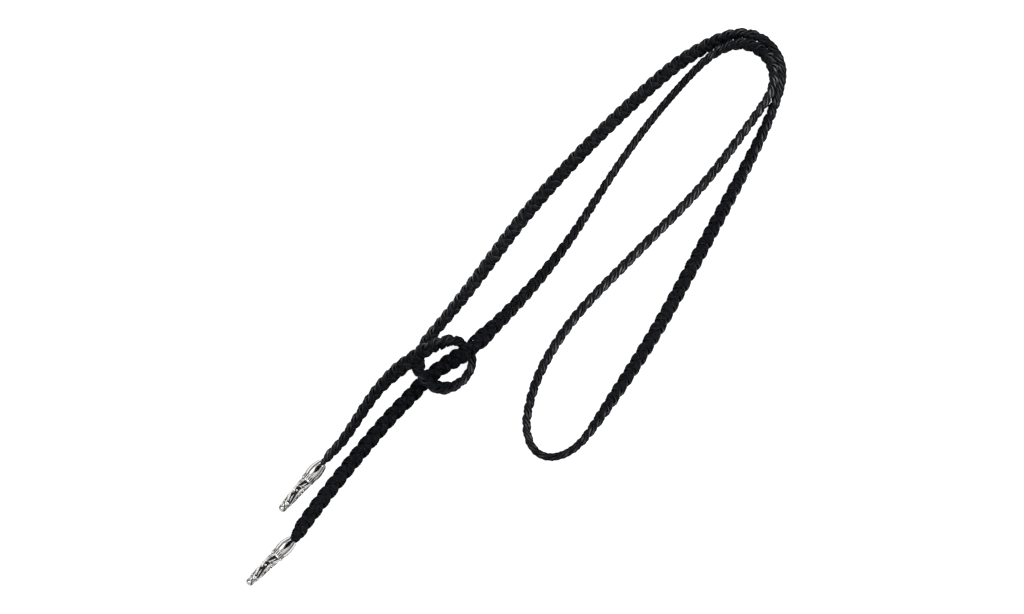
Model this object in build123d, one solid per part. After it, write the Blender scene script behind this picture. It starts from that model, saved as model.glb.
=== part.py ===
from build123d import *
import math
import os

# Lariat necklace: one flat braid of three leather laces with a cast silver tip on each end.
# It lies on a flat surface at z = 0, +Y along its length, the ring and the tips towards -Y.
# The braid's own section has the lateral direction u across its face and v through its thickness.

# Braid
BRAID_WIDTH = 6.0
BRAID_THICK = 3.3
BRAID_PITCH = 14.6
CROSSING_GAP = 0.3

# Lace section, as shares of the braid's half width, which one lace follows to and fro
LACE_HALF_WIDTH = 0.418
LACE_HALF_WIDTH_SWELL = 0.045
LACE_HALF_THICK = 0.158
SWING = 0.663
SWING_THIRD = 0.060
RISE = 0.331
ROLL_CENTRE = 119.2
ROLL_THIRD = -14.5
ROLL_FIFTH = 11.9
SECTION_THICK = 0.52
FIRST_PHASE = 20.0
LACES = 3
STATIONS_PER_PITCH = 9

# Silver tips, measured along the axis from the mouth
TIP_LENGTH = 26.2
MOUTH_RADIUS = 2.1
BULGE_AT = 4.0
BULGE_RADIUS = 3.1
BAND_AT = 6.8
BAND_RADIUS = 2.85
RING_AT = 8.7
RING_HEIGHT = 0.7
RING_RADIUS = 2.85
BODY_TOP_RADIUS = 2.45
BODY_END_RADIUS = 1.75
END_RING_AT = 21.3
END_RING_RADIUS = 2.0
CAP_RADIUS = 1.75
CAP_SHOULDER_RADIUS = 1.45
DOME_AT = 25.0
DOME_MIDDLE_RADIUS = 1.03
DOME_MIDDLE_AT = 25.84
PETAL_WALL = 0.55
SOCKET_DEPTH = 7.6
SOCKET_GAP = 0.15
SLOTS = 4
SLOT_WIDTH = 1.5
SLOT_WIDEST_AT = 2.5
SLOT_LENGTH = 5.6
SLOT_MOUTH_WIDTH = 0.9
FLUTES = 20
FLUTE_RADIUS = 0.2
FLUTE_LENGTH = 1.8
FLUTE_OUT = 0.06
RIDGES = 4
RIDGE_HEIGHT = 0.32
BOSS_RADIUS = 0.55
BOSS_CENTRE_RADIUS = 2.1
BOSS_AT = 15.0
BOSS_TURN = 13.5
GROOVE_WIDTH = 0.32
GROOVE_DEPTH = 0.25
GROOVE_LENGTH = 2.4
GROOVE_TILT = 38.0
GROOVES_AT = 23.5

# Outline of one lobe of the scrolled body. Columns: share of the lobe's angle, share of RIDGE_HEIGHT
# that it stands out by.
LOBE = [(0, 0.45), (0.25, 1.0), (0.5, 0.45), (0.75, -0.25), (1, 0.45)]

# How the ridges wind. Columns: share of the body's length, turn about the axis in degrees.
WINDING = [(0.0, 0.0), (0.25, 26.0), (0.5, 46.0), (0.75, 32.0), (1.0, 0.0)]

# Where the tips lie: mouth in plan, and the way that the tip points from there
TIP_A_MOUTH = (-33.3, -99.0)
TIP_A_HEADING = -89.4
TIP_B_MOUTH = (-21.0, -131.2)
TIP_B_HEADING = -93.5

# The braid in a socket, as shares of its free width and thickness
END_WIDTH = 0.50
END_THICK = 0.56
END_ROLL_A = 75.0
END_ROLL_B = 0.0

# The route's points on a tip's axis. Columns: distance from the mouth into the socket, width and
# thickness as shares.
SOCKET_POINTS = [
    (6.8, END_WIDTH, END_THICK),
    (3.8, END_WIDTH, END_THICK),
    (0.9, 0.49, 0.56),
    (-1.2, 0.61, 0.66),
    (-3.2, 0.82, 0.84),
]

# The route from tip A to tip B, between the sockets. Columns: x, y, roll of the braid about its own
# line (0 lies on its face, 90 stands on its edge, 180 lies on its other face), width, thickness and
# pitch as shares, the roll of the braid that it crosses over, and how much of that braid's height it
# is raised by.
ROUTE = [
    (-33.4, -93.9, 74, 0.98, 1.00, 1.00, 0, 0.00),
    (-33.3, -90.4, 72, 0.96, 1.00, 0.98, 0, 0.00),
    (-33.1, -85.6, 69, 0.95, 1.00, 0.97, 0, 0.00),
    (-35.0, -73.5, 62, 0.97, 1.00, 0.97, 0, 0.00),
    (-36.9, -60.5, 54, 0.98, 1.00, 0.97, 0, 0.00),
    (-36.3, -51.1, 40, 1.00, 1.00, 0.97, 45, 0.28),
    (-35.3, -44.1, 28, 1.00, 1.00, 0.97, 45, 0.94),
    (-33.9, -37.9, 26, 1.00, 1.00, 0.97, 45, 1.00),
    (-32.7, -33.4, 32, 1.00, 1.02, 0.98, 45, 1.00),
    (-30.7, -28.5, 52, 0.97, 1.04, 0.98, 45, 0.84),
    (-27.2, -23.5, 78, 0.93, 1.07, 1.00, 45, 0.22),
    (-22.9, -21.8, 90, 0.90, 1.08, 1.00, 0, 0.00),
    (-18.4, -22.1, 90, 0.90, 1.08, 1.00, 0, 0.00),
    (-14.9, -24.3, 90, 0.92, 1.08, 1.00, 0, 0.00),
    (-12.5, -29.6, 86, 0.94, 1.10, 1.02, 0, 0.00),
    (-12.8, -35.5, 80, 0.96, 1.10, 1.02, 0, 0.00),
    (-15.1, -40.1, 72, 0.98, 1.10, 1.02, 0, 0.25),
    (-19.0, -42.8, 64, 0.98, 1.08, 1.00, 0, 1.12),
    (-22.7, -43.7, 60, 0.98, 1.08, 1.00, 0, 1.25),
    (-26.9, -43.3, 62, 0.98, 1.08, 1.00, 0, 1.05),
    (-30.3, -41.6, 66, 0.97, 1.06, 1.00, 0, 0.35),
    (-32.8, -38.4, 52, 0.96, 1.04, 0.98, 0, 0.00),
    (-34.2, -34.6, 42, 0.95, 1.00, 0.97, 0, 0.00),
    (-35.2, -30.1, 50, 0.95, 1.00, 0.95, 0, 0.00),
    (-35.5, -22.5, 60, 0.95, 1.00, 0.93, 0, 0.00),
    (-35.7, -13.0, 44, 0.94, 1.00, 0.93, 0, 0.00),
    (-37.2, 7.4, 26, 0.94, 1.00, 0.93, 0, 0.00),
    (-39.9, 33.2, 18, 0.94, 1.00, 0.93, 0, 0.00),
    (-40.2, 58.3, 15, 0.95, 1.00, 0.93, 0, 0.00),
    (-39.3, 83.4, 15, 0.95, 1.00, 0.93, 0, 0.00),
    (-37.0, 110.1, 15, 0.95, 1.00, 0.93, 0, 0.00),
    (-34.9, 126.1, 18, 0.95, 1.00, 0.94, 0, 0.00),
    (-31.8, 136.4, 25, 0.95, 1.00, 0.95, 0, 0.00),
    (-29.4, 143.3, 42, 0.94, 1.00, 0.96, 0, 0.00),
    (-26.6, 149.6, 60, 0.94, 1.00, 0.97, 0, 0.00),
    (-22.6, 154.7, 75, 0.93, 1.00, 0.98, 0, 0.00),
    (-16.5, 157.9, 85, 0.92, 0.96, 1.00, 0, 0.00),
    (-10.2, 158.3, 90, 0.92, 0.94, 1.00, 0, 0.00),
    (-4.4, 156.7, 90, 0.92, 0.94, 1.00, 0, 0.00),
    (0.8, 153.1, 90, 0.92, 0.94, 1.00, 0, 0.00),
    (4.7, 147.1, 88, 0.92, 0.94, 1.02, 0, 0.00),
    (7.6, 139.9, 80, 0.92, 0.96, 1.05, 0, 0.00),
    (11.4, 129.1, 66, 0.93, 1.00, 1.06, 0, 0.00),
    (15.7, 112.9, 48, 0.94, 1.00, 1.06, 0, 0.00),
    (20.8, 92.1, 28, 0.95, 1.00, 1.06, 0, 0.00),
    (27.8, 63.2, 12, 0.96, 1.00, 1.06, 0, 0.00),
    (34.6, 33.8, 14, 0.95, 1.00, 1.05, 0, 0.00),
    (38.5, 7.8, 40, 0.95, 1.00, 1.03, 0, 0.00),
    (40.8, -8.9, 70, 0.93, 1.00, 1.02, 0, 0.00),
    (41.9, -19.4, 88, 0.92, 1.00, 1.00, 0, 0.00),
    (40.3, -27.6, 90, 0.92, 1.00, 1.00, 0, 0.00),
    (35.3, -34.2, 90, 0.92, 1.00, 1.00, 0, 0.00),
    (27.7, -35.4, 93, 0.92, 1.00, 1.00, 0, 0.00),
    (20.1, -30.4, 99, 0.92, 1.00, 1.00, 0, 0.00),
    (15.5, -23.7, 102, 0.92, 1.00, 1.01, 0, 0.00),
    (9.9, -12.6, 105, 0.92, 1.00, 1.01, 0, 0.00),
    (6.4, 0.7, 107, 0.92, 1.00, 1.01, 0, 0.00),
    (3.8, 20.0, 108, 0.92, 1.00, 1.01, 0, 0.00),
    (5.0, 41.6, 109, 0.92, 1.00, 1.01, 0, 0.00),
    (6.1, 66.6, 108, 0.92, 1.00, 1.01, 0, 0.00),
    (7.9, 92.4, 107, 0.92, 1.00, 1.01, 0, 0.00),
    (5.8, 116.5, 103, 0.92, 1.00, 1.00, 0, 0.00),
    (3.9, 133.7, 97, 0.92, 0.96, 0.99, 0, 0.00),
    (3.0, 141.1, 98, 0.92, 0.94, 0.98, 0, 0.00),
    (0.8, 147.1, 106, 0.93, 0.94, 0.98, 0, 0.00),
    (-3.8, 151.8, 124, 0.95, 0.95, 0.98, 0, 0.00),
    (-9.3, 153.7, 138, 0.96, 1.00, 0.98, 0, 0.00),
    (-15.6, 153.1, 136, 0.96, 1.00, 0.97, 0, 0.00),
    (-21.3, 149.8, 122, 0.94, 1.00, 0.96, 0, 0.00),
    (-24.9, 143.8, 107, 0.92, 1.00, 0.95, 0, 0.00),
    (-26.7, 137.2, 97, 0.92, 1.00, 0.94, 0, 0.00),
    (-27.5, 129.3, 93, 0.92, 1.00, 0.93, 0, 0.00),
    (-27.6, 119.1, 90, 0.92, 1.00, 0.93, 0, 0.00),
    (-27.2, 98.4, 88, 0.92, 1.00, 0.93, 0, 0.00),
    (-23.9, 70.7, 86, 0.92, 1.00, 0.93, 0, 0.00),
    (-18.9, 43.6, 76, 0.93, 1.00, 0.93, 0, 0.00),
    (-17.2, 20.6, 56, 0.95, 1.00, 0.96, 0, 0.00),
    (-17.7, -2.9, 30, 0.98, 1.00, 1.02, 90, 0.00),
    (-18.5, -11.0, 18, 1.00, 1.00, 1.05, 90, 0.18),
    (-18.6, -15.7, 10, 1.00, 1.00, 1.07, 90, 0.80),
    (-19.3, -19.8, 5, 1.02, 1.00, 1.08, 90, 1.08),
    (-19.8, -24.6, 3, 1.02, 1.00, 1.09, 90, 1.02),
    (-22.3, -32.0, 0, 1.02, 1.00, 1.10, 90, 0.12),
    (-23.8, -38.4, 0, 1.02, 1.00, 1.10, 0, 0.00),
    (-24.7, -44.5, 0, 1.02, 1.00, 1.10, 0, 0.00),
    (-24.4, -52.1, 0, 1.02, 1.00, 1.11, 0, 0.00),
    (-25.3, -65.1, 0, 1.02, 1.00, 1.12, 0, 0.00),
    (-24.6, -85.5, 0, 1.02, 1.00, 1.12, 0, 0.00),
    (-23.4, -107.2, 0, 1.02, 1.00, 1.12, 0, 0.00),
    (-22.3, -119.0, 0, 1.00, 1.00, 1.10, 0, 0.00),
    (-21.8, -124.7, 0, 0.96, 0.98, 1.07, 0, 0.12),
]
BELOW, RAISED = 6, 7
SAMPLES_PER_ROW = 24
DEGREE = 3

os.makedirs("parts", exist_ok=True)


def extent(roll, width=1.0, thick=1.0):
    """Lowest and highest reach of the rolled braid from its centre line."""
    step = 360.0 / STATIONS_PER_PITCH
    across = BRAID_WIDTH / 2 * width * math.sin(math.radians(roll))
    through = BRAID_THICK / 2 * thick * math.cos(math.radians(roll))
    reach = []
    for k in range(STATIONS_PER_PITCH):
        for u, v in lace_corners(FIRST_PHASE + step * k):
            reach.append(u * across + v * through)
    return min(reach), max(reach)


def rest_height(roll, width=1.0, thick=1.0):
    """Height of the braid's centre line where it lies on the surface."""
    return -extent(roll, width, thick)[0]


def standing_height(roll):
    """Whole height of the braid where it lies on the surface."""
    low, high = extent(roll)
    return high - low


def tip_tilt():
    """Angle that a tip's axis makes with the surface, on its bulge and its lowest boss."""
    boss_reach = BOSS_CENTRE_RADIUS * math.cos(math.radians(BOSS_TURN)) + BOSS_RADIUS
    return math.degrees(math.asin((BULGE_RADIUS - boss_reach) / (BOSS_AT - BULGE_AT)))


def tip_location(mouth, heading):
    """Carries a tip's own frame, its axis along +Z from the mouth, to where it lies."""
    tilt = math.radians(tip_tilt())
    turn = math.radians(heading)
    along = Vector(math.cos(turn) * math.cos(tilt), math.sin(turn) * math.cos(tilt), -math.sin(tilt))
    side = Vector(-math.sin(turn), math.cos(turn), 0)
    height = (BULGE_RADIUS + BULGE_AT * math.sin(tilt)) / math.cos(tilt)
    return Location(Plane(origin=(mouth[0], mouth[1], height), x_dir=side, z_dir=along))


def axis_point(location, distance):
    """Point on a tip's axis, measured from the mouth towards the cap."""
    point = (location * Location((0, 0, distance))).position
    return (point.X, point.Y, point.Z)


def socket_rows(location, roll):
    """Rows of the route that lie on a tip's axis: the braid's end first, the last outside."""
    rows = []
    for distance, width, thick in SOCKET_POINTS:
        x, y, z = axis_point(location, distance)
        lift = z - rest_height(roll, width, thick)
        rows.append((x, y, roll, width, thick, 1.0, lift))
    return rows


def free_rows():
    """Rows of the route outside the sockets, with the height that each is raised by."""
    rows = []
    for row in ROUTE:
        lift = row[RAISED] * (standing_height(row[BELOW]) + CROSSING_GAP)
        rows.append(row[:BELOW] + (lift,))
    return rows


def basis(rows, place):
    """Clamped uniform cubic spline through the rows' columns, at place from 0 to 1."""
    spans = len(rows) - DEGREE
    knots = [0.0] * DEGREE + [float(k) for k in range(spans + 1)] + [float(spans)] * DEGREE
    where = place * spans
    span = DEGREE + min(int(where), spans - 1)
    points = [list(rows[span - DEGREE + j]) for j in range(DEGREE + 1)]
    for level in range(1, DEGREE + 1):
        for j in range(DEGREE, level - 1, -1):
            low = knots[span - DEGREE + j]
            high = knots[span + 1 + j - level]
            share = (where - low) / (high - low)
            points[j] = [a * (1 - share) + b * share for a, b in zip(points[j - 1], points[j])]
    return points[DEGREE]


def braid_line(rows):
    """Closely spaced samples of the route: position, roll, width, thickness and phase."""
    samples = []
    phase = FIRST_PHASE
    last = None
    count = SAMPLES_PER_ROW * len(rows)
    for k in range(count + 1):
        x, y, roll, width, thick, pitch, lift = basis(rows, k / count)
        point = Vector(x, y, rest_height(roll, width, thick) + lift)
        if last is not None:
            phase += 360.0 * (point - last).length / (BRAID_PITCH * pitch)
        samples.append((point, roll, width, thick, phase))
        last = point
    return samples


def stations(samples):
    """Places along the braid that are a fixed share of its pitch apart."""
    step = 360.0 / STATIONS_PER_PITCH
    found = []
    wanted = FIRST_PHASE
    for before, after in zip(samples, samples[1:]):
        while before[4] <= wanted < after[4]:
            share = (wanted - before[4]) / (after[4] - before[4])
            point = before[0] + (after[0] - before[0]) * share
            tangent = (after[0] - before[0]).normalized()
            values = [a + (b - a) * share for a, b in zip(before[1:4], after[1:4])]
            found.append((point, tangent, *values, wanted))
            wanted += step
    return found


def lace_corners(phase):
    """Four corners of a lace's section, as shares of the braid's half width."""
    t = math.radians(phase)
    u = SWING * math.sin(t) + SWING_THIRD * math.sin(3 * t)
    v = -RISE * math.sin(2 * t)
    swing = ROLL_CENTRE * math.cos(t) + ROLL_THIRD * math.cos(3 * t) + ROLL_FIFTH * math.cos(5 * t)
    angle = math.radians(90.0 - swing)
    half = LACE_HALF_WIDTH + LACE_HALF_WIDTH_SWELL * math.cos(2 * t)
    corners = []
    for along, through in ((1, 1), (-1, 1), (-1, -1), (1, -1)):
        a = along * half
        b = through * LACE_HALF_THICK
        corner_u = u + a * math.cos(angle) - b * math.sin(angle)
        corner_v = v + a * math.sin(angle) + b * math.cos(angle)
        corners.append((corner_u, corner_v / SECTION_THICK))
    return corners


def lace_sections(places, number):
    """The lace's section corners in space at each station of the braid."""
    rings = []
    for point, tangent, roll, width, thick, phase in places:
        left = Vector(0, 0, 1).cross(tangent).normalized()
        up = tangent.cross(left)
        turn = math.radians(roll)
        across = left * math.cos(turn) + up * math.sin(turn)
        through = up * math.cos(turn) - left * math.sin(turn)
        ring = []
        for u, v in lace_corners(-phase - 360.0 * number / LACES):
            across_by = u * BRAID_WIDTH / 2 * width
            through_by = v * BRAID_THICK / 2 * thick
            ring.append(point + across * across_by + through * through_by)
        rings.append(ring)
    return rings


def triangles(rings):
    """Side triangles between the section rings, split along the shorter diagonal, and two caps."""
    found = []
    for near, far in zip(rings, rings[1:]):
        for j in range(4):
            a, b, c, d = near[j], near[(j + 1) % 4], far[(j + 1) % 4], far[j]
            if (c - a).length <= (d - b).length:
                found += [(a, b, c), (a, c, d)]
            else:
                found += [(a, b, d), (b, c, d)]
    first, last = rings[0], rings[-1]
    found += [(first[0], first[2], first[1]), (first[0], first[3], first[2])]
    found += [(last[0], last[1], last[2]), (last[0], last[2], last[3])]
    return found


def leather_strand(rings):
    """One lace as a closed faceted solid."""
    faces = [Face(Wire.make_polygon(corners, close=True)) for corners in triangles(rings)]
    return Solid(Shell(faces))


def tip_profile():
    """Half section of a tip, as the axis distance grows from the mouth to the cap."""
    bore = BRAID_WIDTH * END_WIDTH / 2 + SOCKET_GAP
    inner_bulge = BULGE_RADIUS - PETAL_WALL
    ring_end = RING_AT + RING_HEIGHT
    end_ring_end = END_RING_AT + RING_HEIGHT
    with BuildLine(Plane.XZ) as line:
        Spline((MOUTH_RADIUS, 0), (BULGE_RADIUS, BULGE_AT), (BAND_RADIUS, BAND_AT))
        Polyline(
            (BAND_RADIUS, BAND_AT),
            (RING_RADIUS - FLUTE_RADIUS / 2, RING_AT),
            (RING_RADIUS, RING_AT),
            (RING_RADIUS, ring_end),
            (BODY_TOP_RADIUS, ring_end),
            (BODY_END_RADIUS, END_RING_AT),
            (END_RING_RADIUS, END_RING_AT),
            (END_RING_RADIUS, end_ring_end),
            (CAP_RADIUS, end_ring_end),
            (CAP_SHOULDER_RADIUS, DOME_AT),
        )
        Spline((CAP_SHOULDER_RADIUS, DOME_AT), (DOME_MIDDLE_RADIUS, DOME_MIDDLE_AT), (0, TIP_LENGTH))
        Polyline((0, TIP_LENGTH), (0, SOCKET_DEPTH), (bore, SOCKET_DEPTH))
        Spline((bore, SOCKET_DEPTH), (inner_bulge, BULGE_AT), (bore, 0))
        Line((bore, 0), (MOUTH_RADIUS, 0))
    return line.line


def ridge_section(height, radius, turn):
    """Lobed section of the scrolled body: one ridge and one valley arc for each lobe."""
    lobe = 360.0 / RIDGES
    with BuildSketch(Plane.XY.offset(height)) as section:
        with BuildLine():
            for k in range(RIDGES):
                marks = []
                for share, reach in LOBE:
                    angle = math.radians(turn + lobe * (k + share))
                    r = radius + RIDGE_HEIGHT * reach
                    marks.append((r * math.cos(angle), r * math.sin(angle)))
                ThreePointArc(*marks[0:3])
                ThreePointArc(*marks[2:5])
        make_face()
    return section.sketch.face()


def scrolled_body():
    """Raised ridges that wind one way and then back along the tip's body."""
    start = RING_AT + RING_HEIGHT / 2
    length = END_RING_AT + RING_HEIGHT / 2 - start
    sections = []
    for share, turn in WINDING:
        radius = BODY_TOP_RADIUS + (BODY_END_RADIUS - BODY_TOP_RADIUS) * share
        sections.append(ridge_section(start + length * share, radius, turn))
    return loft(sections)


def silver_tip():
    """One cast tip in its own frame: mouth at the origin, axis along +Z."""
    tip = revolve(make_face(tip_profile()), axis=Axis.Z)
    tip += scrolled_body()
    boss = Pos(BOSS_CENTRE_RADIUS, 0, BOSS_AT) * Sphere(BOSS_RADIUS)
    for k in range(RIDGES):
        tip += Rot(0, 0, BOSS_TURN + 360.0 / RIDGES * k) * boss
    half_width, half_mouth = SLOT_WIDTH / 2, SLOT_MOUTH_WIDTH / 2
    with BuildSketch(Plane.XZ) as slot:
        with BuildLine():
            ThreePointArc((0, SLOT_LENGTH), (half_width, SLOT_WIDEST_AT), (half_mouth, -half_mouth))
            Line((half_mouth, -half_mouth), (-half_mouth, -half_mouth))
            ThreePointArc((-half_mouth, -half_mouth), (-half_width, SLOT_WIDEST_AT), (0, SLOT_LENGTH))
        make_face()
    slot_cut = extrude(slot.sketch, BULGE_RADIUS * 2, both=True)
    for k in range(SLOTS // 2):
        tip -= Rot(0, 0, 360.0 / SLOTS * k) * slot_cut
    flute = Pos(BAND_RADIUS + FLUTE_OUT, 0, (BAND_AT + RING_AT) / 2) * Cylinder(FLUTE_RADIUS, FLUTE_LENGTH)
    tip -= [Rot(0, 0, 360.0 / FLUTES * k) * flute for k in range(FLUTES)]
    groove = Box(GROOVE_DEPTH * 2, GROOVE_LENGTH, GROOVE_WIDTH)
    cross = Rot(GROOVE_TILT, 0, 0) * groove + Rot(-GROOVE_TILT, 0, 0) * groove
    for k in range(RIDGES):
        tip -= Rot(0, 0, 360.0 / RIDGES * k) * Pos(CAP_RADIUS, 0, GROOVES_AT) * cross
    return tip.solid()


def main():
    tip_a_at = tip_location(TIP_A_MOUTH, TIP_A_HEADING)
    tip_b_at = tip_location(TIP_B_MOUTH, TIP_B_HEADING)
    tip = silver_tip()
    export_step(tip_a_at * tip, "parts/silver_tip_a.step")
    export_step(tip_b_at * tip, "parts/silver_tip_b.step")
    rows = socket_rows(tip_a_at, END_ROLL_A) + free_rows()
    rows += reversed(socket_rows(tip_b_at, END_ROLL_B))
    samples = braid_line(rows)
    length = sum((b[0] - a[0]).length for a, b in zip(samples, samples[1:]))
    print("braid length", round(length, 1))
    places = stations(samples)
    for number in range(LACES):
        rings = lace_sections(places, number)
        print("triangles", len(triangles(rings)))
        strand = leather_strand(rings)
        export_step(strand, f"parts/leather_strand_{number + 1}.step")


main()
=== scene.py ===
import math

import bmesh
import bpy
import numpy as np
from mathutils import Matrix, Vector


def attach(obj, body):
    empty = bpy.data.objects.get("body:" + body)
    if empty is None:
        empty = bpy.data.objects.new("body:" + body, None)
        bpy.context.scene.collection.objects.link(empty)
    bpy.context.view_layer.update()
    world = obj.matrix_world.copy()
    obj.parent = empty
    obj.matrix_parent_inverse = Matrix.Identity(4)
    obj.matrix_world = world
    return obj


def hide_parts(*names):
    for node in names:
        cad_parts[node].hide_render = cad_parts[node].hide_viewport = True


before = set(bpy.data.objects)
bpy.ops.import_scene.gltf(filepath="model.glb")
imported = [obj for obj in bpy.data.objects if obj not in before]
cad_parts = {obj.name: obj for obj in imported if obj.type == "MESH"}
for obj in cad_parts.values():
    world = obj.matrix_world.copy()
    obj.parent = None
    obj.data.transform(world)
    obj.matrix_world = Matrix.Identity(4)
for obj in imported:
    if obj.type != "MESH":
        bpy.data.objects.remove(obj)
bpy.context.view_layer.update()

# Lariat necklace: a flat braid of three leather laces, doubled into loops, with a cast silver tip on each
# end. It lies on a flat surface at z = 0. Sizes are in metres and angles in degrees.

# Braid, and the section that one lace follows to and fro, as shares of the braid's half width
BRAID_WIDTH = 0.0060
BRAID_THICK = 0.0033
BRAID_PITCH = 0.0146
CROSSING_GAP = 0.0003
LACE_HALF_WIDTH = 0.418
LACE_HALF_WIDTH_SWELL = 0.045
LACE_HALF_THICK = 0.158
LACE_WIDER = 0.16
LACE_THICKER = 0.062
LACE_CURL = 0.20
FOLD_OUT = 0.32
LACE_LEAN = 0.12
NOTCH = 0.15
SIDE_SLANT = -0.0014
STEEP_SWELL = 0.45
EDGE_CALM = 0.8
REST_SHARE = 0.6
SWING = 0.663
SWING_THIRD = 0.060
RISE = 0.331
ROLL_CENTRE = 119.2
ROLL_THIRD = -14.5
ROLL_FIFTH = 11.9
SECTION_THICK = 0.52
FIRST_PHASE = 20.0
LACES = 3
REST_PHASES = 9
RINGS_PER_PITCH = 36
RING_POINTS = 18
EDGE_SQUARENESS = 0.42
FACE_CROWN = 0.62
LACE_ROUND = 7.0

# Silver tips. A name that ends in AT is a place along the axis, measured from the mouth
TIP_LENGTH = 0.0262
MOUTH_RADIUS = 0.0021
BULGE_AT = 0.0040
BULGE_RADIUS = 0.0031
BAND_AT = 0.0068
BAND_RADIUS = 0.00285
RING_AT = 0.0087
RING_HEIGHT = 0.0007
RING_RADIUS = 0.00290
RING_CROWN = 0.28
BODY_TOP_RADIUS = 0.00245
BODY_END_RADIUS = 0.00188
END_RING_AT = 0.0213
END_RING_RADIUS = 0.0021
CAP_RADIUS = 0.00185
CAP_SHOULDER_RADIUS = 0.00165
DOME_AT = 0.0250
PETALS = 4
PETAL_WALL = 0.00055
SLOT_WIDTH = 0.0015
SLOT_WIDEST_AT = 0.0025
SLOT_LENGTH = 0.0056
SLOT_MOUTH_WIDTH = 0.0009
FLUTES = 20
FLUTE_DEPTH = 0.00022
BOSS_CENTRE_RADIUS = 0.0021
BOSS_RADIUS = 0.00055
BOSS_AT = 0.0150
BOSS_TURN = 13.5
TIP_RINGS = 300
TIP_POINTS = 200
PETAL_STEPS = 40
PETAL_BOW = 0.0006
RIM_HEIGHT = 0.00012
RIM_GROOVE_AT = 0.88
RIM_GROOVE_WIDTH = 0.07
RIM_GROOVE_DEPTH = 0.00016
FLUTE_ROUNDNESS = 0.7
FLUTE_RUNOUT = 0.0003
END_RING_SINK = 0.0001
CUT_SLANT = 52.0
CUT_DEPTH = 0.00028
CUT_WIDTH = 0.20

# Where the tips lie: mouth in plan, and the way that the tip points from there
TIP_A_MOUTH = (-0.0333, -0.0990)
TIP_A_HEADING = -89.4
TIP_B_MOUTH = (-0.0210, -0.1312)
TIP_B_HEADING = -93.5

# The braid in a socket, as shares of its free width and thickness
END_WIDTH = 0.50
END_THICK = 0.56
END_ROLL_A = 75.0
END_ROLL_B = 0.0

# The route's points on a tip's axis. Columns: distance from the mouth into the socket, width and thickness
# as shares.
SOCKET_POINTS = [
    (0.0068, END_WIDTH, END_THICK),
    (0.0038, END_WIDTH, END_THICK),
    (0.0009, 0.49, 0.56),
    (-0.0012, 0.61, 0.66),
    (-0.0032, 0.82, 0.84),
]

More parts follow.
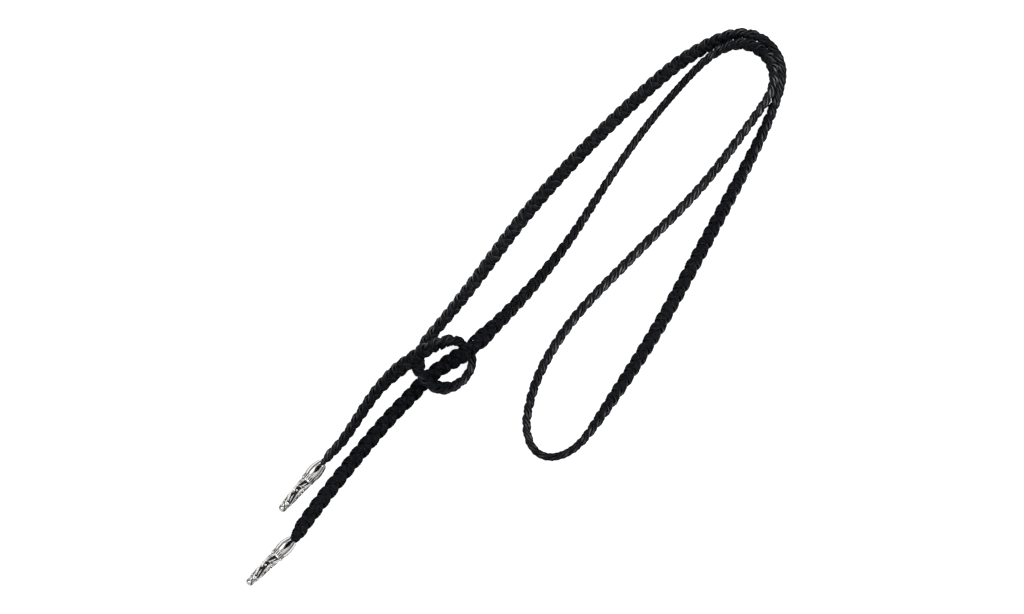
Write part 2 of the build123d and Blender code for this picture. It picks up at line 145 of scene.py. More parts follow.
# The route from tip A to tip B, between the sockets. Columns: x, y, roll of the braid about its own
# line (0 lies on its face, 90 stands on its edge, 180 lies on its other face), width, thickness and
# pitch as shares, the roll of the braid that it crosses over, how much of that braid's height it is
# raised by, and how pale it is: painted sheen, a lighter colour with painted highlights where the
# stretch is made to look lit.
ROUTE = [
    (-0.0334, -0.0939, 74, 0.98, 1.00, 1.00, 0, 0.00, 0.60),
    (-0.0333, -0.0904, 72, 0.96, 1.00, 0.98, 0, 0.00, 0.40),
    (-0.0331, -0.0856, 69, 0.95, 1.00, 0.97, 0, 0.00, 0.30),
    (-0.0350, -0.0735, 62, 0.97, 1.00, 0.97, 0, 0.00, 0.25),
    (-0.0369, -0.0605, 54, 0.98, 1.00, 0.97, 0, 0.00, 0.25),
    (-0.0363, -0.0511, 40, 1.00, 1.00, 0.97, 45, 0.28, 0.40),
    (-0.0353, -0.0441, 28, 1.00, 1.00, 0.97, 45, 0.94, 0.40),
    (-0.0339, -0.0379, 26, 1.00, 1.00, 0.97, 45, 1.00, 0.50),
    (-0.0327, -0.0334, 32, 1.00, 1.02, 0.98, 45, 1.00, 0.50),
    (-0.0307, -0.0285, 52, 0.97, 1.04, 0.98, 45, 0.84, 0.25),
    (-0.0272, -0.0235, 78, 0.93, 1.07, 1.00, 45, 0.22, 0.00),
    (-0.0229, -0.0218, 90, 0.90, 1.08, 1.00, 0, 0.00, 0.10),
    (-0.0184, -0.0221, 90, 0.90, 1.08, 1.00, 0, 0.00, 0.10),
    (-0.0149, -0.0243, 90, 0.92, 1.08, 1.00, 0, 0.00, 0.30),
    (-0.0125, -0.0296, 86, 0.94, 1.10, 1.02, 0, 0.00, 0.30),
    (-0.0128, -0.0355, 80, 0.96, 1.10, 1.02, 0, 0.00, 0.70),
    (-0.0151, -0.0401, 72, 0.98, 1.10, 1.02, 0, 0.25, 0.00),
    (-0.0190, -0.0428, 64, 0.98, 1.08, 1.00, 0, 1.12, 0.10),
    (-0.0227, -0.0437, 60, 0.98, 1.08, 1.00, 0, 1.25, 0.10),
    (-0.0269, -0.0433, 62, 0.98, 1.08, 1.00, 0, 1.05, 0.20),
    (-0.0303, -0.0416, 66, 0.97, 1.06, 1.00, 0, 0.35, 0.00),
    (-0.0328, -0.0384, 52, 0.96, 1.04, 0.98, 0, 0.00, 0.70),
    (-0.0342, -0.0346, 42, 0.95, 1.00, 0.97, 0, 0.00, 0.90),
    (-0.0352, -0.0301, 50, 0.95, 1.00, 0.95, 0, 0.00, 0.50),
    (-0.0355, -0.0225, 60, 0.95, 1.00, 0.93, 0, 0.00, 0.60),
    (-0.0357, -0.0130, 44, 0.94, 1.00, 0.93, 0, 0.00, 0.50),
    (-0.0372, 0.0074, 26, 0.94, 1.00, 0.93, 0, 0.00, 0.90),
    (-0.0399, 0.0332, 18, 0.94, 1.00, 0.93, 0, 0.00, 0.85),
    (-0.0402, 0.0583, 15, 0.95, 1.00, 0.93, 0, 0.00, 0.50),
    (-0.0393, 0.0834, 15, 0.95, 1.00, 0.93, 0, 0.00, 0.75),
    (-0.0370, 0.1101, 15, 0.95, 1.00, 0.93, 0, 0.00, 0.60),
    (-0.0349, 0.1261, 18, 0.95, 1.00, 0.94, 0, 0.00, 0.50),
    (-0.0318, 0.1364, 25, 0.95, 1.00, 0.95, 0, 0.00, 0.50),
    (-0.0294, 0.1433, 42, 0.94, 1.00, 0.96, 0, 0.00, 0.20),
    (-0.0266, 0.1496, 60, 0.94, 1.06, 0.97, 0, 0.00, 0.15),
    (-0.0226, 0.1547, 75, 0.93, 1.10, 0.98, 0, 0.00, 0.30),
    (-0.0165, 0.1579, 85, 0.92, 1.14, 1.00, 0, 0.00, 0.15),
    (-0.0102, 0.1583, 90, 0.92, 1.14, 1.00, 0, 0.00, 0.00),
    (-0.0044, 0.1567, 90, 0.92, 1.12, 1.00, 0, 0.00, 0.40),
    (0.0008, 0.1531, 90, 0.92, 1.12, 1.00, 0, 0.00, 0.45),
    (0.0047, 0.1471, 88, 0.92, 1.14, 1.02, 0, 0.00, 0.45),
    (0.0076, 0.1399, 80, 0.92, 1.12, 1.05, 0, 0.00, 0.25),
    (0.0114, 0.1291, 66, 0.93, 1.06, 1.06, 0, 0.00, 0.30),
    (0.0157, 0.1129, 48, 0.94, 1.00, 1.06, 0, 0.00, 0.45),
    (0.0208, 0.0921, 28, 0.95, 1.00, 1.06, 0, 0.00, 0.30),
    (0.0278, 0.0632, 12, 0.96, 1.00, 1.06, 0, 0.00, 0.40),
    (0.0346, 0.0338, 14, 0.95, 1.00, 1.05, 0, 0.00, 0.50),
    (0.0385, 0.0078, 40, 0.95, 1.00, 1.03, 0, 0.00, 0.30),
    (0.0408, -0.0089, 70, 0.93, 1.00, 1.02, 0, 0.00, 0.40),
    (0.0419, -0.0194, 88, 0.92, 1.00, 1.00, 0, 0.00, 0.30),
    (0.0403, -0.0276, 90, 0.92, 1.00, 1.00, 0, 0.00, 0.20),
    (0.0353, -0.0342, 90, 0.92, 1.00, 1.00, 0, 0.00, 0.10),
    (0.0277, -0.0354, 93, 0.92, 1.00, 1.00, 0, 0.00, 0.20),
    (0.0201, -0.0304, 99, 0.92, 1.00, 1.00, 0, 0.00, 0.70),
    (0.0155, -0.0237, 102, 0.92, 1.00, 1.01, 0, 0.00, 0.30),
    (0.0099, -0.0126, 105, 0.92, 1.00, 1.01, 0, 0.00, 0.35),
    (0.0064, 0.0007, 107, 0.92, 1.00, 1.01, 0, 0.00, 0.50),
    (0.0038, 0.0200, 108, 0.92, 1.00, 1.01, 0, 0.00, 0.70),
    (0.0050, 0.0416, 109, 0.92, 1.00, 1.01, 0, 0.00, 0.90),
    (0.0061, 0.0666, 108, 0.92, 1.00, 1.01, 0, 0.00, 0.85),
    (0.0079, 0.0924, 107, 0.92, 1.00, 1.01, 0, 0.00, 0.70),
    (0.0058, 0.1165, 103, 0.92, 1.02, 1.00, 0, 0.00, 0.55),
    (0.0039, 0.1337, 97, 0.92, 1.04, 0.99, 0, 0.00, 0.65),
    (0.0030, 0.1411, 98, 0.92, 1.04, 0.98, 0, 0.00, 0.85),
    (0.0008, 0.1471, 106, 0.93, 1.02, 0.98, 0, 0.00, 0.90),
    (-0.0038, 0.1518, 124, 0.95, 1.03, 0.98, 0, 0.00, 0.80),
    (-0.0093, 0.1537, 138, 0.96, 1.06, 0.98, 0, 0.00, 0.30),
    (-0.0156, 0.1531, 136, 0.96, 1.06, 0.97, 0, 0.00, 0.20),
    (-0.0213, 0.1498, 122, 0.94, 1.04, 0.96, 0, 0.00, 0.40),
    (-0.0249, 0.1438, 107, 0.92, 1.00, 0.95, 0, 0.00, 0.20),
    (-0.0267, 0.1372, 97, 0.92, 1.00, 0.94, 0, 0.00, 0.40),
    (-0.0275, 0.1293, 93, 0.92, 1.00, 0.93, 0, 0.00, 0.10),
    (-0.0276, 0.1191, 90, 0.92, 1.00, 0.93, 0, 0.00, 0.10),
    (-0.0272, 0.0984, 88, 0.92, 1.00, 0.93, 0, 0.00, 0.25),
    (-0.0239, 0.0707, 86, 0.92, 1.00, 0.93, 0, 0.00, 0.35),
    (-0.0189, 0.0436, 76, 0.93, 1.00, 0.93, 0, 0.00, 0.15),
    (-0.0172, 0.0206, 56, 0.95, 1.00, 0.96, 0, 0.00, 0.20),
    (-0.0177, -0.0029, 30, 0.98, 1.00, 1.02, 90, 0.00, 0.40),
    (-0.0185, -0.0110, 18, 1.00, 1.00, 1.05, 90, 0.18, 0.10),
    (-0.0186, -0.0157, 10, 1.00, 1.00, 1.07, 90, 0.80, 0.10),
    (-0.0193, -0.0198, 5, 1.02, 1.00, 1.08, 90, 1.08, 0.00),
    (-0.0198, -0.0246, 3, 1.02, 1.00, 1.09, 90, 1.02, 0.00),
    (-0.0223, -0.0320, 0, 1.02, 1.00, 1.10, 90, 0.12, 0.00),
    (-0.0238, -0.0384, 0, 1.02, 1.00, 1.10, 0, 0.00, 0.00),
    (-0.0247, -0.0445, 0, 1.02, 1.00, 1.10, 0, 0.00, 0.00),
    (-0.0244, -0.0521, 0, 1.02, 1.00, 1.11, 0, 0.00, 0.00),
    (-0.0253, -0.0651, 0, 1.02, 1.00, 1.12, 0, 0.00, 0.00),
    (-0.0246, -0.0855, 0, 1.02, 1.00, 1.12, 0, 0.00, 0.10),
    (-0.0234, -0.1072, 0, 1.02, 1.00, 1.12, 0, 0.00, 0.35),
    (-0.0223, -0.1190, 0, 1.00, 1.00, 1.10, 0, 0.00, 0.20),
    (-0.0218, -0.1247, 0, 0.96, 0.98, 1.07, 0, 0.12, 0.30),
]
ROLL, BELOW, RAISED, PAINTED_SHEEN = 2, 6, 7, 8
# Points of the route in the top bend, counted from 0, and how far each moves to the right of its
# travel, so that the outer and the inner run touch there
BEND_SHIFTS = {
    34: 0.00012, 35: 0.00022, 36: 0.00030, 37: 0.00030, 38: 0.00028,
    39: 0.00026, 40: 0.00028, 41: 0.00024, 42: 0.00012,
    61: 0.00008, 62: 0.00014, 63: 0.00016, 64: 0.00014,
    65: 0.00016, 66: 0.00016, 67: 0.00014, 68: 0.00012,
}
SAMPLES_PER_ROW = 24

# Camera: straight above, turned so that the necklace lies across the picture as in the photograph
VIEW_CENTRE = (-0.0180, 0.0035)
VIEW_WIDTH = 0.4301
VIEW_TURN = 48.0
VIEW_HEIGHT = 6.0
SENSOR_WIDTH = 36.0
FLOOR_SIZE = 8.0


def extent(roll, width=1.0, thick=1.0):
    """Lowest and highest reach of the rolled braid from its centre line."""
    across = BRAID_WIDTH / 2 * width * math.sin(math.radians(roll))
    through = BRAID_THICK / 2 * thick * math.cos(math.radians(roll))
    reach = []
    for k in range(REST_PHASES):
        u, v, angle, half = lace_place(FIRST_PHASE + 360.0 / REST_PHASES * k)
        half += LACE_WIDER * REST_SHARE
        for a, b in ((half, 1), (-half, 1), (-half, -1), (half, -1)):
            b *= LACE_HALF_THICK
            corner_u = u + a * math.cos(angle) - b * math.sin(angle)
            corner_v = (v + a * math.sin(angle) + b * math.cos(angle)) / SECTION_THICK
            reach.append(corner_u * across + corner_v * through)
    return min(reach), max(reach)


def lace_place(phase):
    """Where one lace is in the braid's section, how far it is turned there and its half width."""
    t = np.radians(phase)
    u = SWING * np.sin(t) + SWING_THIRD * np.sin(3 * t)
    v = -RISE * np.sin(2 * t)
    swing = ROLL_CENTRE * np.cos(t) + ROLL_THIRD * np.cos(3 * t) + ROLL_FIFTH * np.cos(5 * t)
    return u, v, np.radians(90.0 - swing), LACE_HALF_WIDTH + LACE_HALF_WIDTH_SWELL * np.cos(2 * t)


def tip_matrix(mouth, heading):
    """Carries a tip's own frame, its axis along +Z from the mouth, to where it lies."""
    boss_reach = BOSS_CENTRE_RADIUS * math.cos(math.radians(BOSS_TURN)) + BOSS_RADIUS
    tilt = math.asin((BULGE_RADIUS - boss_reach) / (BOSS_AT - BULGE_AT))
    turn = math.radians(heading)
    along = Vector((math.cos(turn) * math.cos(tilt), math.sin(turn) * math.cos(tilt), -math.sin(tilt)))
    side = Vector((-math.sin(turn), math.cos(turn), 0))
    height = (BULGE_RADIUS + BULGE_AT * math.sin(tilt)) / math.cos(tilt)
    frame_turn = Matrix((side, along.cross(side), along)).transposed().to_4x4()
    return Matrix.Translation((mouth[0], mouth[1], height)) @ frame_turn


def socket_rows(place, roll, pale):
    """Rows of the route that lie on a tip's axis: the braid's end first, the last outside."""
    rows = []
    for distance, width, thick in SOCKET_POINTS:
        point = place @ Vector((0, 0, distance))
        lift = point.z + extent(roll, width, thick)[0]
        rows.append((point.x, point.y, roll, width, thick, 1.0, lift, pale))
    return rows


def bend_place(k):
    """A route point's place in plan, moved to the right of its travel where the top bend needs it."""
    x, y = ROUTE[k][:ROLL]
    if k not in BEND_SHIFTS:
        return x, y
    run_x = ROUTE[k + 1][0] - ROUTE[k - 1][0]
    run_y = ROUTE[k + 1][1] - ROUTE[k - 1][1]
    share = BEND_SHIFTS[k] / math.hypot(run_x, run_y)
    return x + share * run_y, y - share * run_x


def free_rows():
    """Rows of the route outside the sockets, with the height that each is raised by."""
    rows = []
    for k, row in enumerate(ROUTE):
        low, high = extent(row[BELOW])
        lift = row[RAISED] * (high - low + CROSSING_GAP)
        rows.append((*bend_place(k), *row[ROLL:BELOW], lift, row[PAINTED_SHEEN]))
    return rows


def spline_points(points):
    """Points along the smooth line that has these control points."""
    curve = bpy.data.curves.new("route", "CURVE")
    curve.dimensions = "3D"
    line = curve.splines.new("NURBS")
    line.points.add(len(points) - 1)
    for control, place in zip(line.points, points):
        control.co = (*place, 1.0)
    line.resolution_u = SAMPLES_PER_ROW
    line.order_u = 4
    line.use_endpoint_u = True
    holder = bpy.data.objects.new("route", curve)
    mesh = bpy.data.meshes.new_from_object(holder)
    found = np.array([vertex.co for vertex in mesh.vertices])
    bpy.data.objects.remove(holder)
    bpy.data.curves.remove(curve)
    bpy.data.meshes.remove(mesh)
    return found


def braid_stations(rows):
    """The braid's centre line and its frame at each ring of the laces."""
    # Besides the plan and the turns, the route carries pitch and the painted sheen (pale) that makes a
    # stretch look lit.
    plan, turns, pitch_and_sheen = [], [], []
    for x, y, roll, width, thick, pitch, lift, pale in rows:
        plan.append((x, y, lift))
        turns.append((roll / 90.0, width, thick))
        pitch_and_sheen.append((pitch, pale, 0.0))
    plan, turns, pitch_and_sheen = spline_points(plan), spline_points(turns), spline_points(pitch_and_sheen)
    pitches, painted_sheens = pitch_and_sheen[:, 0], pitch_and_sheen[:, 1]
    rolls, widths, thicks = turns[:, 0] * 90.0, turns[:, 1], turns[:, 2]
    rests = np.array([-extent(*values)[0] for values in zip(rolls, widths, thicks)])
    points = plan + np.outer(rests, (0, 0, 1))
    steps = np.linalg.norm(np.diff(points, axis=0), axis=1)
    travel = np.concatenate([[0.0], np.cumsum(steps)])
    phases = FIRST_PHASE + np.concatenate([[0.0], np.cumsum(360.0 * steps / (BRAID_PITCH * pitches[1:]))])
    wanted = np.arange(FIRST_PHASE, phases[-1], 360.0 / RINGS_PER_PITCH)
    columns = [*points.T, rolls, widths, thicks, travel, painted_sheens]
    x, y, z, rolls, widths, thicks, travel, painted_sheens = (np.interp(wanted, phases, column) for column in columns)
    line = np.stack([x, y, z], axis=1)
    tangents = np.gradient(line, axis=0)
    tangents /= np.linalg.norm(tangents, axis=1, keepdims=True)
    left = np.cross((0, 0, 1), tangents)
    left /= np.linalg.norm(left, axis=1, keepdims=True)
    up = np.cross(tangents, left)
    turn = np.radians(rolls)[:, None]
    across = (left * np.cos(turn) + up * np.sin(turn)) * widths[:, None] * BRAID_WIDTH / 2
    through = (up * np.cos(turn) - left * np.sin(turn)) * thicks[:, None] * BRAID_THICK / 2
    on_edge = np.sin(np.radians(rolls)) ** 4
    return line, tangents, across, through, wanted, travel, on_edge, painted_sheens


def lace_outline():
    """The lace's own section: crowned faces and rounded cut edges, as shares of its half sizes."""
    turn = np.radians(np.arange(RING_POINTS) * 360.0 / RING_POINTS + 360.0 / RING_POINTS / 2)
    along = np.sign(np.cos(turn)) * np.abs(np.cos(turn)) ** EDGE_SQUARENESS
    through = np.sign(np.sin(turn)) * np.abs(np.sin(turn)) ** FACE_CROWN
    return along, through


def grid_tube(bm, rings, marks, scale):
    """A tube from a grid whose last point round meets its first: rings is (ring, point round, xyz).

    marks holds a value for each ring and point by its name, and scale is the size of the UV map's two ways.
    """
    count, round_count = rings.shape[0], rings.shape[1]
    for name in marks:
        bm.verts.layers.float.new(name)
    layers = {name: bm.verts.layers.float[name] for name in marks}
    uv = bm.loops.layers.uv.new("UVMap")
    made = bmesh.ops.create_grid(bm, x_segments=count - 1, y_segments=round_count, size=0.5)
    places = {}
    for vertex in made["verts"]:
        i = round((vertex.co.x + 0.5) * (count - 1))
        j = round((vertex.co.y + 0.5) * round_count)
        places[vertex] = (i, j)
        for name, layer in layers.items():
            vertex[layer] = marks[name][i, j % round_count]
        vertex.co = rings[i, j % round_count]
    for face in {face for vertex in made["verts"] for face in vertex.link_faces}:
        for loop in face.loops:
            i, j = places[loop.vert]
            loop[uv].uv = (scale[0][i], scale[1] * j / round_count)


def close_up(bm, merge=1e-7):
    """Joins the seam, caps what is open and turns the faces outwards."""
    bmesh.ops.remove_doubles(bm, verts=bm.verts, dist=merge)
    open_edges = [edge for edge in bm.edges if edge.is_boundary]
    if open_edges:
        bmesh.ops.holes_fill(bm, edges=open_edges, sides=0)
    bmesh.ops.recalc_face_normals(bm, faces=bm.faces)


def finish_piece(bm, name, material, replaced):
    """Makes the mesh a piece of the necklace that stands for a solid of the frame."""
    for face in bm.faces:
        face.smooth = True
    mesh = bpy.data.meshes.new(name)
    bm.to_mesh(mesh)
    bm.free()
    mesh.materials.append(material)
    piece = bpy.data.objects.new(name, mesh)
    bpy.context.scene.collection.objects.link(piece)
    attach(piece, "root")
    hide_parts(replaced)
    return piece


def braided_lace(number, stations, material):
    """One leather lace of the braid, from socket to socket."""
    line, tangents, across, through, phases, travel, on_edge, painted_sheens = stations
    phases = -phases - 360.0 * number / LACES
    turn = np.radians(phases)
    u, v, angle, half = lace_place(phases)
    along, thick = lace_outline()
    side, slant = np.sin(turn), np.sin(2 * turn)
    calm = 1.0 - EDGE_CALM * on_edge
    inward = calm * (LACE_LEAN * slant + NOTCH * slant * np.cos(turn) ** 2)
    climb = STEEP_SWELL * tangents[:, 2] ** 2
    a = np.outer(half + LACE_WIDER + calm * LACE_LEAN * np.abs(slant) + climb, along) - inward[:, None]
    b = np.outer(LACE_HALF_THICK + LACE_THICKER + climb, thick) + np.outer(LACE_CURL * side, along ** 2)
    fold = np.outer(FOLD_OUT * side ** 3, 1.0 - along ** 2)
    section_u = u[:, None] + a * np.cos(angle)[:, None] - b * np.sin(angle)[:, None] + fold
    section_v = (v[:, None] + a * np.sin(angle)[:, None] + b * np.cos(angle)[:, None]) / SECTION_THICK
    rings = line[:, None] + section_u[..., None] * across[:, None] + section_v[..., None] * through[:, None]
    free = np.clip(np.minimum(travel, travel[-1] - travel) / SOCKET_POINTS[0][0] - 1.0, 0.0, 1.0)
    rings += (SIDE_SLANT * free * on_edge)[:, None, None] * section_v[..., None] * tangents[:, None]
    marks = {
        "cut_edge": np.tile(np.abs(along), (len(rings), 1)),
        "braid_side": np.clip(np.abs(section_u) - 0.6 * np.abs(section_v), 0.0, 1.0),
        # pale: painted sheen of each ring, how lit its stretch is painted.
        "pale": np.tile(painted_sheens[:, None], (1, RING_POINTS)),
    }
    bm = bmesh.new()
    grid_tube(bm, rings, marks, (travel * 1000.0, LACE_ROUND))
    close_up(bm)
    name = f"braided_lace_{number + 1}"
    return finish_piece(bm, name, material, f"leather_strand_{number + 1}")


def add_node(tree, kind, settings=None, **inputs):
    """A shader node with its settings, and its inputs as values or as other nodes' outputs."""
    made = tree.nodes.new(kind)
    for name, value in (settings or {}).items():
        setattr(made, name, value)
    for name, value in inputs.items():
        socket = made.inputs[int(name[1:])] if name[1:].isdigit() else made.inputs[name.replace("_", " ")]
        if isinstance(value, bpy.types.NodeSocket):
            tree.links.new(value, socket)
        else:
            socket.default_value = value
    return made


def ramp(tree, value, *stops):
    """A grey ramp over a value, with stops as (place, brightness)."""
    made = add_node(tree, "ShaderNodeValToRGB", Fac=value)
    elements = made.color_ramp.elements
    for k, (place, grey) in enumerate(stops):
        stop = elements[k] if k < 2 else elements.new(place)
        stop.position = place
        stop.color = (grey, grey, grey, 1)
    return made.outputs["Color"]


def mix(tree, share, low, high):
    """Blends two colours or greys."""
    made = add_node(tree, "ShaderNodeMix", {"data_type": "RGBA"}, i0=share, i6=low, i7=high)
    return made.outputs[2]


def times(tree, a, b):
    return add_node(tree, "ShaderNodeMath", {"operation": "MULTIPLY"}, i0=a, i1=b).outputs[0]


def mark(tree, name):
    return add_node(tree, "ShaderNodeAttribute", {"attribute_name": name}).outputs["Fac"]


def noise(tree, place, scale, detail=3.0, roughness=0.55):
    made = add_node(tree, "ShaderNodeTexNoise", Vector=place, Scale=scale, Detail=detail, Roughness=roughness)
    return made.outputs["Fac"]


def new_material(name):
    """A material with one surface shader."""
    material = bpy.data.materials.new(name)
    material.use_nodes = True
    tree = material.node_tree
    tree.nodes.clear()
    surface = tree.nodes.new("ShaderNodeBsdfPrincipled")
    output = tree.nodes.new("ShaderNodeOutputMaterial")
    tree.links.new(surface.outputs[0], output.inputs["Surface"])
    return material, tree, surface


def leather_material():
    """Near-black leather: mottled, with fibres along the lace, painted highlight specks, and painted sheen on
    stretches that look lit: a lighter colour, painted highlight streaks on the braid's sides and painted
    glints on the cut edges.
    """
    material, tree, surface = new_material("black_leather")
    lace = add_node(tree, "ShaderNodeUVMap", {"uv_map": "UVMap"}).outputs["UV"]
    stretched = add_node(tree, "ShaderNodeMapping", Vector=lace, Scale=(0.14, 0.9, 1.0)).outputs[0]
    patches = noise(tree, lace, 0.30, 2.0)
    blotches = noise(tree, lace, 1.3, 4.0, 0.65)
    fibres = noise(tree, stretched, 2.0, 4.0, 0.6)
    grain = noise(tree, lace, 5.5, 5.0, 0.65)
    # Painted highlights: light specks in the colour stand in for small glints.
    highlight_flecks = ramp(tree, noise(tree, lace, 2.0, 3.0, 0.6), (0.60, 0.0), (0.70, 1.0))
    edge = mark(tree, "cut_edge")
    side = mark(tree, "braid_side")
    # Painted sheen from the route: how lit each stretch is painted.
    pale = mark(tree, "pale")
    # Where painted highlights go: the braid's sides, times the stretch's painted sheen.
    side_highlight_share = times(tree, ramp(tree, side, (0.30, 0.25), (0.75, 1.0)), pale)
    # Painted highlight streaks along the fibres, on the lit-looking braid sides.
    highlight_strokes = ramp(tree, fibres, (0.55, 0.0), (0.63, 1.0))
    # Painted glints on the cut edges, in patches.
    glint_patches = ramp(tree, patches, (0.46, 0.10), (0.60, 1.0))
    edge_glint = times(tree, ramp(tree, edge, (0.85, 0.0), (0.98, 1.0)), glint_patches)
    # Mottled near-black tone. Both its dark and its light ends are painted lighter where the stretch has
    # painted sheen.
    darkest = mix(tree, pale, (0.0012, 0.0013, 0.0018, 1), (0.0034, 0.0037, 0.0046, 1))
    lighter = mix(tree, pale, (0.0090, 0.0098, 0.0130, 1), (0.0140, 0.0148, 0.0180, 1))
    body = mix(tree, ramp(tree, blotches, (0.42, 0.0), (0.58, 1.0)), darkest, lighter)
    # Painted highlights laid over the tone: streaks on the braid's sides, specks all over, then glints on the
    # cut edges.
    highlight_streaked = mix(tree, times(tree, highlight_strokes, side_highlight_share), body, (0.105, 0.108, 0.118, 1))
    highlight_flecked = mix(tree, highlight_flecks, highlight_streaked, (0.040, 0.043, 0.051, 1))
    edge_glinted = mix(tree, times(tree, edge_glint, side_highlight_share), highlight_flecked, (0.28, 0.285, 0.30, 1))
    tree.links.new(edge_glinted, surface.inputs["Base Color"])
    tree.links.new(ramp(tree, grain, (0.3, 0.42), (0.75, 0.66)), surface.inputs["Roughness"])
    surface.inputs["Specular IOR Level"].default_value = 0.04
    height = mix(tree, 0.45, grain, fibres)
    bump = add_node(tree, "ShaderNodeBump", Strength=0.6, Distance=0.00014, Height=height)
    tree.links.new(bump.outputs[0], surface.inputs["Normal"])
    return material


def silver_material():
    """Polished silver on what stands proud, dark oxide in the recesses."""
    material, tree, surface = new_material("oxidised_silver")
    place = add_node(tree, "ShaderNodeTexCoord").outputs["Object"]
    proud = add_node(tree, "ShaderNodeAttribute", {"attribute_name": "proud"}).outputs["Fac"]
    cloud = noise(tree, place, 900.0, 3.0)
    share = mix(tree, 0.22, proud, cloud)
    bright = ramp(tree, share, (0.30, 0.0), (0.52, 1.0))
    colour = mix(tree, bright, (0.030, 0.029, 0.028, 1), (0.88, 0.87, 0.85, 1))
    tree.links.new(colour, surface.inputs["Base Color"])
    tree.links.new(ramp(tree, bright, (0.0, 0.62), (1.0, 0.20)), surface.inputs["Roughness"])
    surface.inputs["Metallic"].default_value = 1.0
    pits = noise(tree, place, 3500.0, 4.0, 0.7)
    bump = add_node(tree, "ShaderNodeBump", Strength=0.25, Distance=0.00004, Height=pits)
    tree.links.new(bump.outputs[0], surface.inputs["Normal"])
    return material


# Scrollwork in one quarter of the tip's body. How its ribs wind: share of the body's length, turn.
WINDING = [(0.0, 0.0), (0.25, 26.0), (0.5, 46.0), (0.75, 32.0), (1.0, 0.0)]
RIB_TURN = 22.5
RIB_HALF_WIDTH = 0.00052
RIB_CROWN = 0.45
RIB_HEIGHT = 0.00030
FLOOR_SINK = 0.00022
BOSS_HEIGHT = 0.00045
BOSS_SINK = 0.00005
CURL_HALF_WIDTH = 0.00038
CURL_HEIGHT = 0.00022
CURL_STRETCH = 1.25
LEAF_SWELL = 1.25
# Curls that wind in to a boss. Columns: start turn, end turn, start radius, end radius
CURLS = [(150.0, 420.0, 0.00225, 0.00110), (-40.0, 60.0, 0.00260, 0.00150)]
# Leaf strokes between the ribs. Columns: height, turn, length, slant, half width
LEAVES = [
    (0.0110, 62.0, 0.0034, 60.0, 0.00042), (0.0114, 92.0, 0.0038, 66.0, 0.00044),
    (0.0191, 82.0, 0.0040, -72.0, 0.00044), (0.0194, 112.0, 0.0034, -64.0, 0.00040),
]


def winding(z):
    shares, turns = zip(*WINDING)
    body_start, body_end = RING_AT + RING_HEIGHT / 2, END_RING_AT + RING_HEIGHT / 2
    share = (z - body_start) / (body_end - body_start)
    fine = np.linspace(0, 1, 41)
    rough = np.interp(fine, shares, turns)
    smooth = np.convolve(np.pad(rough, 4, "edge"), np.ones(9) / 9, "valid")
    return np.interp(share, fine, smooth)


def stroke_points(z, turn, length, slant, bend=0.35):
    """Centre line of a leaf stroke as (turn in degrees, height)."""
    t = np.linspace(-0.5, 0.5, 14)
    slope = math.radians(slant)
    along = t * length
    bow = bend * length * (0.25 - t ** 2)
    dz = along * math.sin(slope) + bow * math.cos(slope)
    dx = along * math.cos(slope) - bow * math.sin(slope)
    return turn + np.degrees(dx / BODY_TOP_RADIUS), z + dz


def nearest(turns, heights, radii, line_turns, line_heights):
    """Distance over the surface from each place to a line, and the share of the line that is nearest."""
    wrap = (line_turns[:-1] - turns[..., None] + 180.0) % 360.0 - 180.0
    from_x = np.radians(wrap) * radii[..., None]
    from_z = line_heights[:-1] - heights[..., None]
    step_x = np.radians(np.diff(line_turns)) * radii[..., None]
    step_z = np.diff(line_heights)
    share = -(from_x * step_x + from_z * step_z) / (step_x ** 2 + step_z ** 2)
    share = np.clip(share, 0.0, 1.0)
    distance = np.hypot(from_x + share * step_x, from_z + share * step_z)
    best = distance.argmin(axis=-1)
    part = np.take_along_axis(share, best[..., None], axis=-1)[..., 0]
    return distance.min(axis=-1), (best + part) / len(step_z)


def rounded(distance, half_width):
    """Height of a half-round boss, from 1 on its middle to 0 at its side."""
    return np.sqrt(np.clip(1.0 - (distance / half_width) ** 2, 0.0, 1.0))


def ridge(distance, half_width, crown=0.0):
    """Height of a soft-sided ridge, from 1 on its crown to 0 at its side."""
    share = np.clip((distance / half_width - crown) / (1.0 - crown), 0.0, 1.0)
    return 0.5 + 0.5 * np.cos(np.pi * share)


